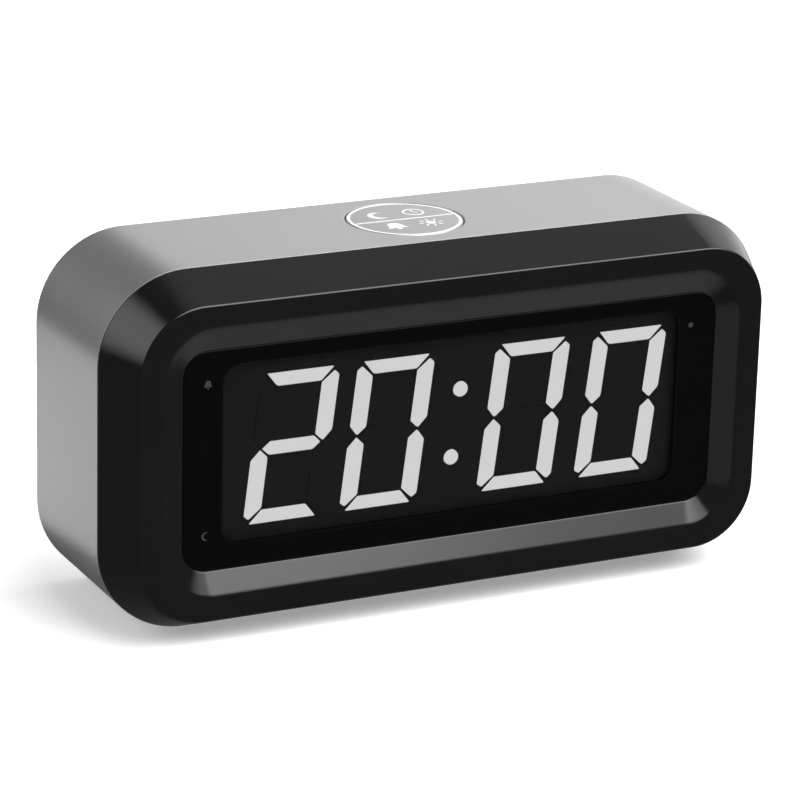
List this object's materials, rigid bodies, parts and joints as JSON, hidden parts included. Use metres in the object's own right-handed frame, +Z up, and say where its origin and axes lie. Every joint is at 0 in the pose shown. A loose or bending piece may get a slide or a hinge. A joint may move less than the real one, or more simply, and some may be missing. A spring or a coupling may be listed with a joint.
{
  "type": "digital alarm clock",
  "caption": "Battery-powered desk alarm clock: rounded box with a chamfered gloss bezel, recessed LED display, top snooze button, rear setting buttons and a hinged battery door.",
  "frame": {"origin": "on the table, at the middle of the clock's footprint", "axes": "+X to the right as the display is read, the display faces -Y, +Z up"},
  "size_m": [0.146, 0.0442, 0.0739],
  "materials": {
    "case_plastic": "satin grey painted ABS with a very fine grain",
    "gloss_bezel": "piano-black moulded ABS, polished",
    "smoked_lens": "smoked acrylic sheet, back-printed black round its window",
    "display_mask": "dark grey moulded face of the LED module",
    "lit_segment": "milky light diffuser, lit from behind",
    "reflector_white": "white moulded reflector",
    "circuit_board": "green solder mask on glass-fibre board",
    "black_plastic": "black moulded plastic, satin",
    "spring_steel": "nickel-plated spring steel",
    "screw_steel": "zinc-plated self-tapping screws",
    "cell_jacket": "plain printed foil jacket over a steel can",
    "tape": "black double-sided foam tape",
    "foot_rubber": "matt black rubber",
    "red_lead": "red PVC insulation",
    "black_lead": "black PVC insulation",
    "grey_ribbon": "grey flat ribbon cable"
  },
  "bodies": {
    "housing": {"aa_cell_1": "cell_jacket", "aa_cell_2": "cell_jacket", "aa_cell_3": "cell_jacket", "aa_cell_4": "cell_jacket", "battery_spring_1": "spring_steel", "battery_spring_2": "spring_steel", "bridge_contact": "spring_steel", "case_screw_1": "screw_steel", "case_screw_2": "screw_steel", "case_screw_3": "screw_steel", "case_screw_4": "screw_steel", "colon_diffuser": "lit_segment", "control_board": "circuit_board", "control_screw_1": "screw_steel", "control_screw_2": "screw_steel", "digit_diffuser_1": "lit_segment", "digit_diffuser_2": "lit_segment", "digit_diffuser_3": "lit_segment", "digit_diffuser_4": "lit_segment", "display_board": "circuit_board", "display_lens": "smoked_lens", "display_reflector": "reflector_white", "display_screw_1": "screw_steel", "display_screw_2": "screw_steel", "display_screw_3": "screw_steel", "display_screw_4": "screw_steel", "driver_chip": "black_plastic", "front_bezel": "gloss_bezel", "lens_tape": "tape", "main_chip": "black_plastic", "negative_contact": "spring_steel", "negative_lead": "black_lead", "positive_contact": "spring_steel", "positive_lead": "red_lead", "quartz_crystal": "spring_steel", "rear_case": "case_plastic", "ribbon_cable": "grey_ribbon", "rubber_foot_1": "foot_rubber", "rubber_foot_2": "foot_rubber", "rubber_foot_3": "foot_rubber", "rubber_foot_4": "foot_rubber", "segment_mask": "display_mask", "slide_switch": "black_plastic", "snooze_board": "circuit_board", "snooze_screw_1": "screw_steel", "snooze_screw_2": "screw_steel", "snooze_switch": "black_plastic", "sounder": "black_plastic", "sounder_lead": "black_lead", "tact_switch_1": "black_plastic", "tact_switch_2": "black_plastic", "tact_switch_3": "black_plastic", "tact_switch_4": "black_plastic"},
    "snooze": {"snooze_button": "case_plastic"},
    "time_key": {"time_button": "black_plastic"},
    "alarm_key": {"alarm_button": "black_plastic"},
    "up_key": {"up_button": "black_plastic"},
    "down_key": {"down_button": "black_plastic"},
    "alarm_slide": {"slide_knob": "black_plastic"},
    "door": {"battery_door": "case_plastic"}
  },
  "joints": [
    {"name": "snooze_press", "type": "slide", "parent": "housing", "child": "snooze", "axis": [0, 0, -1], "range_m": [0, 0.0008], "stiffness_N_per_m": 2000, "springref_m": -0.0001},
    {"name": "time_press", "type": "slide", "parent": "housing", "child": "time_key", "axis": [0, -1, 0], "range_m": [0, 0.0008], "stiffness_N_per_m": 2000, "springref_m": -0.0001},
    {"name": "alarm_press", "type": "slide", "parent": "housing", "child": "alarm_key", "axis": [0, -1, 0], "range_m": [0, 0.0008], "stiffness_N_per_m": 2000, "springref_m": -0.0001},
    {"name": "up_press", "type": "slide", "parent": "housing", "child": "up_key", "axis": [0, -1, 0], "range_m": [0, 0.0008], "stiffness_N_per_m": 2000, "springref_m": -0.0001},
    {"name": "down_press", "type": "slide", "parent": "housing", "child": "down_key", "axis": [0, -1, 0], "range_m": [0, 0.0008], "stiffness_N_per_m": 2000, "springref_m": -0.0001},
    {"name": "alarm_slide_move", "type": "slide", "parent": "housing", "child": "alarm_slide", "axis": [1, 0, 0], "range_m": [0, 0.003]},
    {"name": "door_swing", "type": "hinge", "parent": "housing", "child": "door", "pos_m": [0, 0.0221, 0.006], "axis": [-1, 0, 0], "range_deg": [0, 75]}
  ]
}
